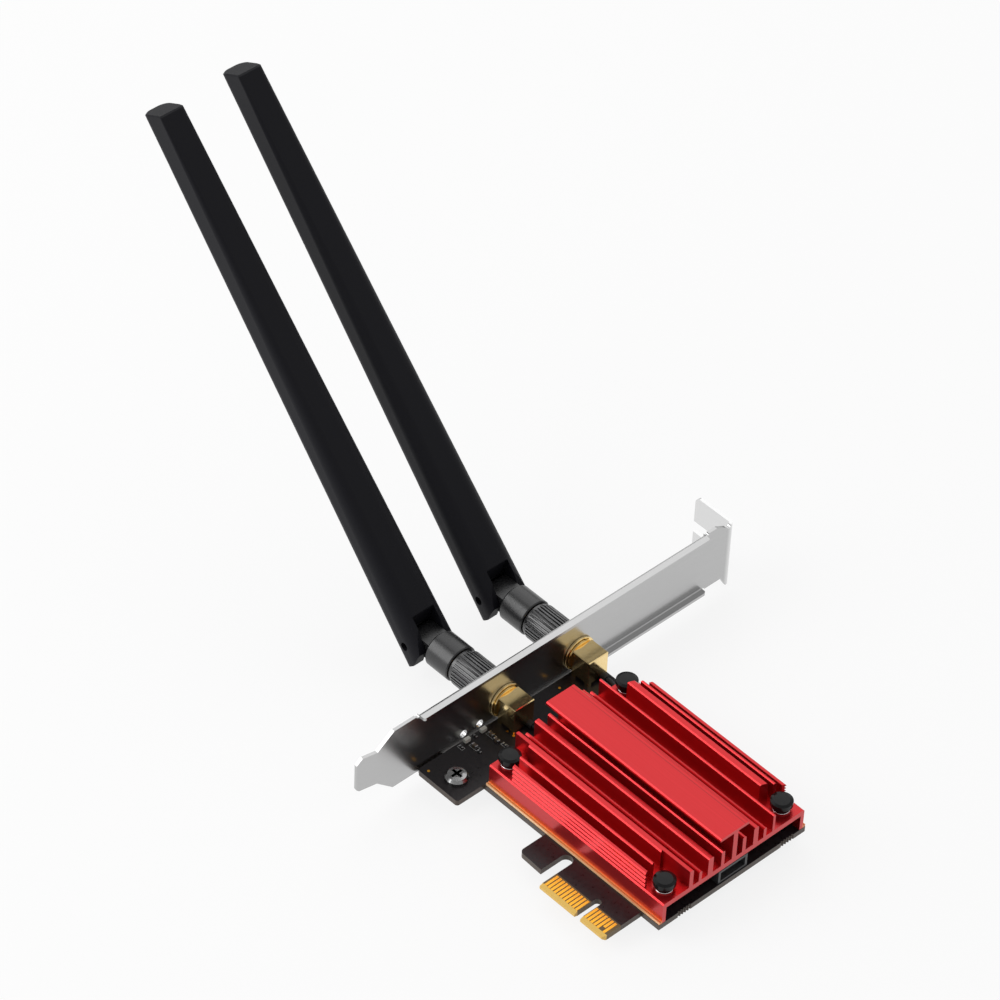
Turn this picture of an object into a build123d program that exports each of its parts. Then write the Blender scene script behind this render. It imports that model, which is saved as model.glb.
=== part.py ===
from build123d import *
import os
from math import cos, radians, sin

# A PCI Express x1 radio card: board, folded slot bracket, finned heatsink held by four push pins,
# and two tilting antennas screwed to threaded jacks. Millimetres.
# X runs from the bracket into the card, Y from the edge tongue up to the bracket's flange,
# Z out of the component side. The origin is on the tongue's lower edge, at the middle of the
# key notch and of the board's thickness.

# Circuit board
board_thick = 1.6
board_length = 71.5
board_gap = 0.5
bracket_to_key = 57.76
front_low = 3.3
front_length = 13.6
main_low = 11.8
main_high = 58.5
tongue_left = 12.4
tongue_right = 8.6
tongue_bevel = 1.0
tongue_bevel_depth = 0.4
key_width = 1.9
key_depth = 7.2
retainer_slot = 3.2
retainer_slot_end = 11.4
hook_length = 7.4
hook_low = 3.4
hook_slope = 0.3
hook_corner = 1.2
front_corner = 0.8
tongue_corner = 0.6
bite_radius = 0.3
bite_pitch = 0.85
bite_count = 5
bite_ys = [19.8, 52.7]

# Edge contacts
contact_pitch = 1.0
contact_width = 0.7
contact_length = 4.0
contact_start = 0.95
contact_thick = 0.05
contact_short = 1.2
contacts_before_key = 11
contacts_after_key = 7
contact_key_gap = 3.0

# Slot bracket, folded from one sheet
sheet = 0.86
bend_inner = 0.35
bracket_low = -0.6
bracket_width = 18.42
flange_top = 105.6
flange_reach = 12.4
flange_low = -3.9
flange_high = 16.1
flange_slot_width = 3.4
flange_slot_depth = 6.6
flange_slot_z = 6.5
flange_corner = 1.6
ear_start = 102.4
ear_slope = 1.8
neck_start = 99.6
neck_slope = 3.1
neck_round = 2.0
flange_relief = 0.8
lip_reach = 2.55
lip_start = 3.9
lip_end = 95.8
lower_lip_start = 60.4
lip_corner = 0.7
relief_radius = 0.55
shoulder = -3.9
tab_start = -8.9
tab_length = 5.6
tab_low = 4.0
tab_width = 10.19
tab_bend = 10.0
tab_corner = 1.6
foot_start = 4.3
foot_width = 8.0
foot_reach = 12.6

# Status lights behind the bracket
led_first_y = 18.1
led_spacing = 5.1
led_hole_radius = 1.1
led_hole_height = 1.45
led_length = 1.6
led_width = 0.9
led_height = 1.0
led_setback = 1.3

# Bracket screw
screw_x = 8.5
screw_y = 8.3
screw_radius = 1.45
screw_head_radius = 2.85
screw_head_height = 1.7
screw_length = 5.0
screw_clearance = 0.1
cross_width = 0.75
cross_length = 3.1
cross_depth = 0.9

# Heatsink, an extrusion with milled corners
sink_start = 14.56
sink_far_inset = 0.04
sink_wall_y = 12.7
sink_width = 45.0
sink_wall = 1.1
foot_ledge = 0.8
foot_thick = 0.7
ledge_groove = 0.2
base_under = 4.6
base_thick = 1.5
fin_height = 5.2
low_fin_height = 2.9
inner_fin_height = 4.6
far_wall_height = 3.45
edge_break = 0.3
rib_count = 4
rib_depth = 0.35
edge_fin = 1.0
plateau_start = 17.3
plateau_width = 9.05
plateau_top = 9.2
plateau_thick = 0.85
stem_start = 21.55
stem_thick = 1.4
pocket_width = 8.0
pocket_far_width = 6.5
pocket_near_inner = 4.7
pocket_near_outer = 7.5
pocket_far_inner = 9.0
pocket_far_outer = 6.2
# Each fin: distance from the outer wall, thickness, height above the base
fins = [
    (3.3, 0.8, fin_height),
    (7.4, 1.8, fin_height),
    (11.1, 0.9, low_fin_height),
    (13.9, 1.6, fin_height),
    (18.1, 1.0, inner_fin_height),
    (24.8, 1.1, inner_fin_height),
    (28.3, 1.5, fin_height),
    (31.6, 0.9, low_fin_height),
    (34.5, 0.7, fin_height),
    (38.9, 1.9, fin_height),
    (42.0, 0.7, inner_fin_height),
]

# Push pins
pin_from_end = 2.65
pin_far_from_end = 3.75
pin_from_wall = 3.85
pin_shank_radius = 1.45
pin_hole_clearance = 0.1
pin_head_radius = 2.7
pin_head_thick = 1.25
pin_head_dome = 0.3
pin_skirt_radius = 2.15
pin_skirt_height = 1.15
pin_barb_radius = 1.95
pin_barb_length = 3.0
pin_tip_radius = 0.9
pin_seat_gap = 0.05
spring_radius = 2.2
spring_height = 0.45
spring_turns = 1

# Threaded jacks
jack_first_y = 30.85
jack_spacing = 23.75
jack_axis_height = 4.63
jack_block = 6.35
jack_block_length = 5.75
jack_block_lift = 0.9
jack_edge = 0.2
jack_leg = 1.3
jack_tail_radius = 0.55
jack_tail_length = 1.6
jack_tail_clearance = 0.1
jack_collar_radius = 4.0
jack_collar_thick = 0.4
jack_barrel_radius = 3.175
jack_barrel_reach = 10.5
jack_mouth_radius = 2.35
jack_mouth_depth = 4.2
jack_core_radius = 2.05
jack_core_depth = 3.0
jack_contact_radius = 0.64
jack_contact_inset = 1.5
jack_hole_clearance = 0.15
washer_thick = 0.8
washer_radius = 4.6
washer_split = 0.9
washer_split_turn = 42.0
nut_thick = 2.0
nut_flats = 8.0

# Antennas
coupling_gap = 0.6
coupling_length = 11.1
coupling_collar = 1.3
coupling_radius = 4.8
coupling_chamfer = 0.3
knurl_ridges = 40
knurl_depth = 0.3
coupling_nut_radius = 4.0
coupling_back_wall = 1.3
running_clearance = 0.06
core_flange_radius = 3.05
core_flange_thick = 1.15
core_neck_radius = 2.5
core_head_radius = 2.9
core_head_thick = 1.0
core_head_depth = 3.35
core_seat_depth = 3.4
core_bore_radius = 0.75
knuckle_gap = 0.33
knuckle_length = 7.7
knuckle_radius = 4.8
knuckle_edge = 0.5
hinge_setback = 5.4
tongue_half = 3.2
tongue_end_radius = 2.4
slot_half = 3.35
slot_room = 0.35
slot_front_reach = 6.0
hinge_pin_radius = 1.1
hinge_pin_recess = 1.2
rest_bend = 47.0
blade_reach = 138.0
blade_end_slant = 0.3
blade_end_edge = 0.35
blade_gap = 0.3
blade_base_width = 12.6
blade_base_depth = 9.8
blade_tip_width = 7.5
blade_tip_depth = 8.0
blade_base_corner = 4.2
blade_middle = 0.55
blade_middle_corner = 3.2
blade_middle_ridge = 2.2
blade_ridge_corner = 0.4
blade_bevel_corner = 1.6
blade_back_corner = 2.4
ear_low = 0.3
ear_mid = (3.3, 3.2)
ear_front_start = 3.5
ear_heel = 0.8
radiator_start = 4.0
radiator_width = 3.0
radiator_thick = 0.8
radiator_length = 110.0
radiator_clearance = 0.1

# Radio module, its socket and its leads
module_length = 29.0
module_width = 22.0
module_thick = 0.8
module_lift = 1.6
module_start = 23.0
module_key_depth = 2.0
socket_length = 6.0
socket_height = 2.9
shield_length = 20.0
shield_width = 18.0
shield_height = 1.5
shield_setback = 4.5
pad_margin = 1.5
standoff_radius = 2.0
module_screw_radius = 1.0
module_screw_head = 2.2
module_screw_head_thick = 0.8
module_notch_radius = 1.3
lead_plug_radius = 1.25
lead_plug_height = 1.25
lead_plug_setback = 1.9
lead_plug_offset = 6.0
lead_radius = 0.57
lead_height = 1.1
lead_offset = 1.55
ferrule_radius = 0.95
ferrule_length = 1.6

# Internal cable header at the far end
header_y = 30.6
header_width = 9.2
header_depth = 7.0
header_height = 4.0
header_wall = 0.7
header_inset = 0.25
header_pins = 4
header_pitch = 1.5
header_pin = 0.5
header_pin_length = 5.0

# Small parts on the board, each at its distance from the bracket and its height above the tongue
resistor_size = (1.0, 0.55, 0.4)
resistor_places = [(1.5, 20.6), (5.8, 17.9), (1.9, 15.7), (7.9, 23.9)]
capacitor_size = (1.6, 0.85, 0.8)
capacitor_places = [(3.8, 18.2), (3.6, 23.7), (5.8, 23.3)]
regulator_size = (3.0, 3.0, 1.0)
regulator_place = (59.0, 22.0)
inductor_size = (4.0, 4.0, 2.0)
inductor_place = (59.5, 48.5)
inductor_corner = 0.6

# Places that follow from the sizes above
board_top = board_thick / 2
board_under = -board_top
face_x = -bracket_to_key
outer_x = face_x - sheet
front_x = face_x + board_gap
far_x = front_x + board_length
bracket_high = bracket_low + bracket_width
sink_x = face_x + sink_start
sink_end = far_x - sink_far_inset
sink_far_y = sink_wall_y + sink_width
base_low = board_top + base_under
base_top = base_low + base_thick
fin_top = base_top + fin_height
pin_xs = [sink_x + pin_from_end, sink_end - pin_far_from_end]
pin_ys = [sink_wall_y + pin_from_wall, sink_far_y - pin_from_wall]
pin_places = [(x, y) for x in pin_xs for y in pin_ys]
pin_hole_radius = pin_shank_radius + pin_hole_clearance
jack_z = board_top + jack_axis_height
jack_ys = [jack_first_y, jack_first_y + jack_spacing]
jack_collar_x = face_x + washer_thick
jack_block_x = jack_collar_x + jack_collar_thick
jack_rear_x = jack_block_x + jack_block_length
jack_mouth_x = outer_x - jack_barrel_reach
jack_core_x = jack_mouth_x + jack_mouth_depth
screw_place = (face_x + screw_x, screw_y)
coupling_x = outer_x - nut_thick - coupling_gap
coupling_back = coupling_x - coupling_length
knuckle_x = coupling_back - knuckle_gap
shoulder_x = knuckle_x - knuckle_length
hinge_x = shoulder_x - hinge_setback
blade_tail = hinge_setback - blade_gap
slot_radius = tongue_end_radius + slot_room
module_x = face_x + module_start
module_y = sink_wall_y + sink_width / 2
module_z = board_top + module_lift
module_end = module_x + module_length
led_ys = [led_first_y, led_first_y + led_spacing]


def block(x0, x1, y0, y1, z0, z1):
    """A box between two corners."""
    return Pos((x0 + x1) / 2, (y0 + y1) / 2, (z0 + z1) / 2) * Box(x1 - x0, y1 - y0, z1 - z0)


def rod(x, y, radius, z0, z1):
    """An upright cylinder."""
    return Pos(x, y, (z0 + z1) / 2) * Cylinder(radius, z1 - z0)


def bar(y, z, radius, x0, x1):
    """A cylinder along X."""
    return Pos((x0 + x1) / 2, y, z) * Rot(0, 90, 0) * Cylinder(radius, x1 - x0)


def prism_z(points, z0, z1):
    """An outline in X and Y, raised from z0 to z1."""
    face = make_face(Polyline(*points, close=True))
    return Pos(0, 0, z0) * extrude(face, z1 - z0, dir=(0, 0, 1))


def prism_x(points, x0, x1):
    """An outline in Y and Z, drawn out from x0 to x1."""
    face = make_face(Plane.YZ * Polyline(*points, close=True))
    return Pos(x0, 0, 0) * extrude(face, x1 - x0, dir=(1, 0, 0))


def prism_y(points, y0, y1):
    """An outline in X and Z, drawn out from y0 to y1."""
    face = make_face(Polyline(*[(x, 0, z) for x, z in points], close=True))
    return Pos(0, y0, 0) * extrude(face, y1 - y0, dir=(0, 1, 0))


def turned_x(points, y, z):
    """A profile of (x, radius) points, turned about the line along X through y and z."""
    face = make_face(Polyline(*[(x, 0, r) for x, r in points], close=True))
    return Pos(0, y, z) * revolve(face, Axis.X)


def turned_z(points, x, y):
    """A profile of (radius, z) points, turned about the upright line through x and y."""
    face = make_face(Polyline(*[(r, 0, z) for r, z in points], close=True))
    return Pos(x, y, 0) * revolve(face, Axis.Z)


def group(solids):
    """Like pieces that share one node."""
    return Compound(children=list(solids))


def open_slot(x, width, end, z0, z1):
    """A round-ended slot that opens at the board's lower edge."""
    reach = end - width / 2
    cut = block(x - width / 2, x + width / 2, -main_low, reach, z0, z1)
    return cut + rod(x, reach, width / 2, z0, z1)


def make_board():
    hook_right = -tongue_left - retainer_slot
    hook_left = hook_right - hook_length
    outline = [
        (front_x, front_low),
        (front_x + front_length, front_low),
        (front_x + front_length, main_low),
        (hook_left, main_low),
        (hook_left, hook_low + hook_slope),
        (hook_right, hook_low),
        (-tongue_left - retainer_slot / 2, hook_low),
        (-tongue_left - retainer_slot / 2, 0),
        (tongue_right, 0),
        (tongue_right, main_low),
        (far_x, main_low),
        (far_x, main_high),
        (front_x, main_high),
    ]
    board = prism_z(outline, board_under, board_top)
    for x, y, radius in (
        (hook_left, hook_low + hook_slope, hook_corner),
        (front_x + front_length, front_low, front_corner),
        (front_x, front_low, front_corner),
    ):
        upright = board.edges().filter_by(Axis.Z)
        board = fillet(upright.sort_by_distance((x, y, 0))[0], radius)
    board = chamfer(board.edges().filter_by(Axis.Z).sort_by_distance((tongue_right, 0, 0))[0], tongue_corner)
    for y in bite_ys:
        for i in range(bite_count):
            board -= rod(far_x, y + (i - (bite_count - 1) / 2) * bite_pitch, bite_radius, board_under, board_top)
    slot_x = -tongue_left - retainer_slot / 2
    board -= open_slot(slot_x, retainer_slot, retainer_slot_end, board_under, board_top)
    board -= open_slot(0, key_width, key_depth, board_under, board_top)
    for side in (1, -1):
        wedge = [
            (0, side * board_top),
            (tongue_bevel, side * board_top),
            (0, side * (board_top - tongue_bevel_depth)),
        ]
        board -= prism_x(wedge, -tongue_left, tongue_right)
    for x, y in pin_places:
        board -= rod(x, y, pin_hole_radius, board_under, board_top)
    board -= rod(*screw_place, screw_radius + screw_clearance, board_under, board_top)
    for y in jack_ys:
        for x, leg_y in jack_legs(y):
            board -= rod(x, leg_y, jack_tail_radius + jack_tail_clearance, board_under, board_top)
    return board


def make_contacts():
    pads = []
    first = -(contact_key_gap / 2 + (contacts_before_key - 1) * contact_pitch)
    before = [first + i * contact_pitch for i in range(contacts_before_key)]
    after = [contact_key_gap / 2 + i * contact_pitch for i in range(contacts_after_key)]
    places = before + after
    short_above = places[-2]
    short_below = places[0]
    for side, short in ((1, short_above), (-1, short_below)):
        z0 = min(side * board_top, side * (board_top + contact_thick))
        for x in places:
            low = contact_start + (contact_short if x == short else 0)
            high = contact_start + contact_length
            left = x - contact_width / 2
            pads.append(block(left, left + contact_width, low, high, z0, z0 + contact_thick))
    return group(pads)


def bent_lip(reach, edge_z, inward, y0, y1):
    """A strip folded off the bracket's face towards the card, along its upper or lower edge."""
    root = edge_z + inward * 2 * (sheet + bend_inner)
    profile = Polyline(
        (outer_x, 0, root),
        (outer_x, 0, edge_z),
        (outer_x + reach, 0, edge_z),
        (outer_x + reach, 0, edge_z + inward * sheet),
        (face_x, 0, edge_z + inward * sheet),
        (face_x, 0, root),
        close=True,
    )
    strip = Pos(0, y0, 0) * extrude(make_face(profile), y1 - y0, dir=(0, 1, 0))
    along = strip.edges().filter_by(Axis.Y)
    outside = along.sort_by_distance((outer_x, (y0 + y1) / 2, edge_z))[0]
    inside = along.sort_by_distance((face_x, (y0 + y1) / 2, edge_z + inward * sheet))[0]
    strip = fillet(outside, sheet + bend_inner)
    inside = strip.edges().filter_by(Axis.Y).sort_by_distance(inside.center())[0]
    strip = fillet(inside, bend_inner)
    tips = strip.edges().filter_by(Axis.Z).group_by(Axis.X)[-1]
    return fillet(tips, lip_corner)


def make_bracket():
    tab_high = tab_low + tab_width
    bend_room = sheet + bend_inner
    outline = [
        (tab_start, tab_low),
        (shoulder, bracket_low),
        (ear_start, bracket_low),
        (ear_start + ear_slope, flange_low),
        (flange_top - bend_room, flange_low),
        (flange_top - bend_room, flange_high),
        (neck_start + neck_slope, flange_high),
        (neck_start, bracket_high),
        (shoulder, bracket_high),
        (tab_start, tab_high),
    ]
    bracket = prism_x(outline, outer_x, face_x)
    across = bracket.edges().filter_by(Axis.X)
    neck_edge = across.sort_by_distance((face_x, neck_start, bracket_high))[0]
    bracket = fillet(neck_edge, neck_round)
    for edge_z, inward in ((bracket_high, -1), (bracket_low, 1)):
        y0 = lip_start if inward < 0 else lower_lip_start
        strip_edge = block(outer_x, face_x, y0, lip_end, edge_z - bend_room, edge_z + bend_room)
        bracket -= strip_edge
        bracket += bent_lip(lip_reach, edge_z, inward, y0, lip_end)
        for y in (y0 - relief_radius, lip_end + relief_radius):
            bracket -= bar(y, edge_z, relief_radius, outer_x, face_x)
    bracket += bent_lip(foot_reach + sheet, board_under - sheet, 1, foot_start, foot_start + foot_width)
    bracket += make_flange()
    bracket -= bar(flange_top - bend_room - flange_relief, flange_high, flange_relief, outer_x, face_x)
    bracket += make_tab(tab_high)
    bracket -= rod(*screw_place, screw_radius + screw_clearance / 2, board_under - sheet, board_under)
    for y in led_ys:
        bracket -= bar(y, board_top + led_hole_height, led_hole_radius, outer_x, face_x)
    for y in jack_ys:
        bracket -= bar(y, jack_z, jack_barrel_radius + jack_hole_clearance, outer_x, face_x)
    return bracket


def make_flange():
    """The end folded outwards, with the open slot for the chassis screw."""
    bend_room = sheet + bend_inner
    root = flange_top - bend_room - bend_inner / 2
    profile = [
        (face_x, root),
        (face_x, flange_top),
        (face_x - flange_reach, flange_top),
        (face_x - flange_reach, flange_top - sheet),
        (outer_x, flange_top - sheet),
        (outer_x, root),
    ]
    flange = prism_z(profile, flange_low, flange_high)
    upright = flange.edges().filter_by(Axis.Z)
    outside = upright.sort_by_distance((face_x, flange_top, (flange_low + flange_high) / 2))[0]
    flange = fillet(outside, bend_room)
    upright = flange.edges().filter_by(Axis.Z)
    inside = upright.sort_by_distance((outer_x, flange_top - sheet, (flange_low + flange_high) / 2))[0]
    flange = fillet(inside, bend_inner)
    corners = flange.edges().filter_by(Axis.Y).group_by(Axis.X)[0]
    flange = fillet(corners, flange_corner)
    half = flange_slot_width / 2
    end_x = face_x - flange_reach + flange_slot_depth - half
    low = flange_slot_z - half
    high = flange_slot_z + half
    slot = block(face_x - flange_reach, end_x, flange_top - sheet, flange_top, low, high)
    slot += Pos(end_x, flange_top - sheet / 2, flange_slot_z) * Rot(90, 0, 0) * Cylinder(half, sheet)
    return flange - slot


def make_tab(tab_high):
    """The narrow end that drops into the chassis, bent a little outwards."""
    outline = [
        (0, tab_low),
        (0, tab_high),
        (-tab_length + tab_corner, tab_high),
        (-tab_length, tab_high - tab_corner),
        (-tab_length, tab_low + tab_corner / 2),
        (-tab_length + tab_corner / 2, tab_low),
    ]
    tab = prism_x(outline, -sheet, 0)
    return Pos(face_x, tab_start, 0) * Rot(0, 0, -tab_bend) * tab


def make_screw():
    x, y = screw_place
    head_top = board_top + screw_head_height
    head = [
        (0, board_top),
        (screw_head_radius, board_top),
        (screw_head_radius, board_top + screw_head_height * 0.45),
        (screw_head_radius * 0.8, board_top + screw_head_height * 0.85),
        (screw_head_radius * 0.45, head_top),
        (0, head_top),
    ]
    screw = turned_z(head, x, y) + rod(x, y, screw_radius, head_top - screw_length, board_top)
    for long_x, long_y in ((cross_length, cross_width), (cross_width, cross_length)):
        recess = Pos(x, y, head_top - cross_depth / 2) * Box(long_x, long_y, cross_depth)
        screw -= recess
    return screw


def fin_outline(y0, thick, z0, z1):
    """A fin's section, with its two upper edges broken."""
    y1 = y0 + thick
    edge = min(edge_break, thick * 0.3)
    points = [
        (y0, z0),
        (y1, z0),
        (y1, z1 - edge),
        (y1 - edge, z1),
        (y0 + edge, z1),
        (y0, z1 - edge),
    ]
    return make_face(Plane.YZ * Polyline(*points, close=True))


def wall_outline(mirrored, height):
    """A side wall's section: foot ledge, plain wall and a ribbed edge fin above the base."""
    pitch = height / rib_count
    top = base_top + height
    outside = [(-foot_ledge, board_top), (-foot_ledge, board_top + foot_thick)]
    outside.append((-foot_ledge * 0.6, board_top + foot_thick))
    outside.append((-foot_ledge * 0.5, board_top + foot_thick - ledge_groove))
    outside.append((-foot_ledge * 0.4, board_top + foot_thick))
    outside.append((0, board_top + foot_thick))
    for i in range(rib_count):
        z = base_top + i * pitch
        outside.append((0, z - rib_depth))
        outside.append((rib_depth, z))
        outside.append((rib_depth, z + pitch * 0.3))
        outside.append((0, z + pitch * 0.45))
    outside.append((0, top - edge_break))
    outside.append((edge_break, top))
    inside = [(edge_fin, top), (edge_fin, base_low), (sink_wall, base_low), (sink_wall, board_top)]
    points = outside + inside
    if mirrored:
        places = [(sink_far_y - d, z) for d, z in points]
    else:
        places = [(sink_wall_y + d, z) for d, z in reversed(points)]
    return make_face(Plane.YZ * Polyline(*places, close=True))


def make_heatsink():
    base = [
        (sink_wall_y + edge_fin / 2, base_low),
        (sink_far_y - edge_fin / 2, base_low),
        (sink_far_y - edge_fin / 2, base_top),
        (sink_wall_y + edge_fin / 2, base_top),
    ]
    section = make_face(Plane.YZ * Polyline(*base, close=True))
    section += wall_outline(False, fin_height) + wall_outline(True, far_wall_height)
    for start, thick, height in fins:
        section += fin_outline(sink_wall_y + start, thick, base_low, base_top + height)
    plate_z = base_top + plateau_top - plateau_thick
    section += fin_outline(sink_wall_y + stem_start, stem_thick, base_low, plate_z + plateau_thick / 2)
    section += fin_outline(sink_wall_y + plateau_start, plateau_width, plate_z, plate_z + plateau_thick)
    sink = Pos(sink_x, 0, 0) * extrude(section, sink_end - sink_x, dir=(1, 0, 0))
    for mirrored in (False, True):
        for near, inner, outer in (
            (True, sink_x + pocket_near_inner, sink_x + pocket_near_outer),
            (False, sink_end - pocket_far_inner, sink_end - pocket_far_outer),
        ):
            end = sink_x if near else sink_end
            width = pocket_far_width if mirrored else pocket_width
            corners = [(end, 0), (outer, 0), (inner, width), (end, width)]
            if mirrored:
                corners = [(x, sink_far_y - d) for x, d in corners]
            else:
                corners = [(x, sink_wall_y + d) for x, d in corners]
            sink -= prism_z(corners, base_top, fin_top)
    for x, y in pin_places:
        sink -= rod(x, y, pin_hole_radius, base_low, base_top)
    return sink


def make_push_pins():
    head_low = base_top + spring_height + pin_skirt_height
    head_top = head_low + pin_head_thick + pin_head_dome
    barb_top = board_under - pin_seat_gap
    profile = [
        (0, head_top),
        (pin_head_radius * 0.72, head_top - pin_head_dome * 0.25),
        (pin_head_radius, head_top - pin_head_dome),
        (pin_head_radius, head_low),
        (pin_skirt_radius, head_low),
        (pin_skirt_radius, base_top + spring_height),
        (pin_shank_radius, base_top + spring_height),
        (pin_shank_radius, barb_top),
        (pin_barb_radius, barb_top),
        (pin_tip_radius, barb_top - pin_barb_length),
        (0, barb_top - pin_barb_length),
    ]
    return group(turned_z(profile, x, y) for x, y in pin_places)


def make_springs():
    pitch = spring_height / spring_turns
    inner = pin_shank_radius + pin_hole_clearance
    profile = [(inner, base_top), (inner, base_top + spring_height)]
    for i in reversed(range(spring_turns)):
        z = base_top + i * pitch
        profile.append((spring_radius - pitch / 3, z + pitch))
        profile.append((spring_radius, z + pitch * 0.7))
        profile.append((spring_radius, z + pitch * 0.3))
    profile.append((spring_radius - pitch / 3, base_top))
    return group(turned_z(profile, x, y) for x, y in pin_places)


def jack_legs(y):
    """The four places under a jack's block where it stands on the board."""
    inset = jack_leg / 2
    xs = (jack_block_x + inset, jack_rear_x - inset)
    ys = (y - jack_block / 2 + inset, y + jack_block / 2 - inset)
    return [(x, leg_y) for x in xs for leg_y in ys]


def make_jack(y):
    half = jack_block / 2
    top = jack_z + half
    body = block(jack_block_x, jack_rear_x, y - half, y + half, board_top + jack_block_lift, top)
    body = chamfer(body.edges().filter_by(Axis.Z) + body.edges().group_by(Axis.Z)[-1], jack_edge)
    for x, leg_y in jack_legs(y):
        r = jack_leg / 2
        foot = block(x - r, x + r, leg_y - r, leg_y + r, board_top, board_top + jack_block_lift)
        body += chamfer(foot.edges().filter_by(Axis.Z), jack_edge)
        body += rod(x, leg_y, jack_tail_radius, board_under - jack_tail_length, board_top)
    body += bar(y, jack_z, jack_collar_radius, jack_collar_x, jack_block_x)
    body += bar(y, jack_z, jack_barrel_radius, jack_mouth_x, jack_collar_x)
    body -= bar(y, jack_z, jack_mouth_radius, jack_mouth_x, jack_core_x)
    body -= bar(y, jack_z, jack_core_radius, jack_core_x, face_x + jack_core_depth)
    return body


def make_jack_insulators():
    tubes = []
    for y in jack_ys:
        tube = bar(y, jack_z, jack_core_radius, jack_core_x, face_x + jack_core_depth)
        tubes.append(tube - bar(y, jack_z, jack_contact_radius, jack_core_x, face_x + jack_core_depth))
    return group(tubes)


def make_jack_contacts():
    start = jack_mouth_x + jack_contact_inset
    return group(bar(y, jack_z, jack_contact_radius, start, face_x + jack_core_depth) for y in jack_ys)


def make_washers():
    """Spring washers: each ring is split, and its split faces up and towards the flange."""
    washers = []
    reach = washer_radius - jack_barrel_radius
    for y in jack_ys:
        ring = Circle(washer_radius) - Circle(jack_barrel_radius + jack_hole_clearance)
        ring -= Rot(0, 0, washer_split_turn) * Pos(jack_barrel_radius + reach / 2, 0) * Rectangle(
            2 * reach, washer_split
        )
        washers.append(extrude(Plane.YZ.offset(face_x) * Pos(y, jack_z) * ring, washer_thick, dir=(1, 0, 0)))
    return group(washers)


def make_nuts():
    nuts = []
    corner = nut_flats / 2 / cos(radians(30))
    for y in jack_ys:
        ring = RegularPolygon(corner, 6) - Circle(jack_barrel_radius + running_clearance)
        nuts.append(extrude(Plane.YZ.offset(outer_x) * Pos(y, jack_z) * ring, nut_thick, dir=(-1, 0, 0)))
    return group(nuts)


def make_plug_core(y):
    """The antenna's plug, seated in the jack; the coupling and the knuckle turn on it."""
    flange_end = jack_mouth_x - core_flange_thick
    head_start = knuckle_x - core_head_depth
    profile = [
        (jack_mouth_x + core_seat_depth, core_bore_radius),
        (jack_mouth_x + core_seat_depth, jack_mouth_radius - running_clearance),
        (jack_mouth_x, jack_mouth_radius - running_clearance),
        (jack_mouth_x, core_flange_radius),
        (flange_end, core_flange_radius),
        (flange_end, core_neck_radius),
        (head_start, core_neck_radius),
        (head_start, core_head_radius),
        (head_start - core_head_thick, core_head_radius),
        (head_start - core_head_thick, core_bore_radius),
    ]
    return turned_x(profile, y, jack_z)


def make_coupling_nut(y):
    profile = [
        (coupling_x, jack_barrel_radius + running_clearance),
        (coupling_x, coupling_nut_radius),
        (coupling_back, coupling_nut_radius),
        (coupling_back, core_neck_radius + running_clearance),
        (coupling_back + coupling_back_wall, core_neck_radius + running_clearance),
        (coupling_back + coupling_back_wall, jack_barrel_radius + running_clearance),
    ]
    return turned_x(profile, y, jack_z)


def make_coupling_sleeve(y):
    """The knurled grip: straight ridges and a smooth collar next to the knuckle."""
    collar_x = coupling_back + coupling_collar
    step = 360 / knurl_ridges
    points = []
    for i in range(knurl_ridges):
        for turn, radius in (
            (0.0, coupling_radius - knurl_depth),
            (0.2, coupling_radius - knurl_depth),
            (0.45, coupling_radius),
            (0.75, coupling_radius),
        ):
            angle = radians((i + turn) * step)
            points.append((y + radius * cos(angle), jack_z + radius * sin(angle)))
    grip = prism_x(points, collar_x, coupling_x)
    collar = turned_x(
        [
            (coupling_back, 0),
            (coupling_back, coupling_radius - coupling_chamfer),
            (coupling_back + coupling_chamfer, coupling_radius),
            (collar_x, coupling_radius),
            (collar_x, 0),
        ],
        y,
        jack_z,
    )
    return grip + collar - bar(y, jack_z, coupling_nut_radius, coupling_back, coupling_x)


def make_knuckle(y):
    profile = [
        (knuckle_x, 0),
        (knuckle_x, knuckle_radius - knuckle_edge / 2),
        (knuckle_x - knuckle_edge / 2, knuckle_radius),
        (shoulder_x + knuckle_edge, knuckle_radius),
        (shoulder_x, knuckle_radius - knuckle_edge),
        (shoulder_x, 0),
    ]
    knuckle = turned_x(profile, y, jack_z)
    half = tongue_end_radius
    knuckle += block(hinge_x, shoulder_x, y - tongue_half, y + tongue_half, jack_z - half, jack_z + half)
    knuckle += Pos(hinge_x, y, jack_z) * Rot(90, 0, 0) * Cylinder(half, 2 * tongue_half)
    hole = hinge_pin_radius + running_clearance
    knuckle -= Pos(hinge_x, y, jack_z) * Rot(90, 0, 0) * Cylinder(hole, 2 * tongue_half)
    head_start = knuckle_x - core_head_depth + running_clearance
    head_end = knuckle_x - core_head_depth - core_head_thick - running_clearance
    knuckle -= bar(y, jack_z, core_neck_radius + running_clearance, head_start, knuckle_x)
    knuckle -= bar(y, jack_z, core_head_radius + running_clearance, head_end, head_start)
    return knuckle


def blade_section(u, width, depth, corners, slant):
    """The blade's section at u from the hinge: a rectangle with four corners of their own radius."""
    face = Rectangle(width, depth)
    places = [(-1, -1), (-1, 1), (1, 1), (1, -1)]
    for (a, b), radius in zip(places, corners):
        spot = (a * width / 2, b * depth / 2, 0)
        face = fillet(face.vertices().sort_by_distance(spot)[0], radius)
    return Plane((-u, 0, 0), x_dir=(0, 1, 0), z_dir=(1, 0, -slant)) * face


def at_hinge(solid, y):
    """A piece drawn straight out from the hinge, lifted to the bend that it rests at."""
    return Pos(hinge_x, y, jack_z) * Rot(0, rest_bend, 0) * solid


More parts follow.
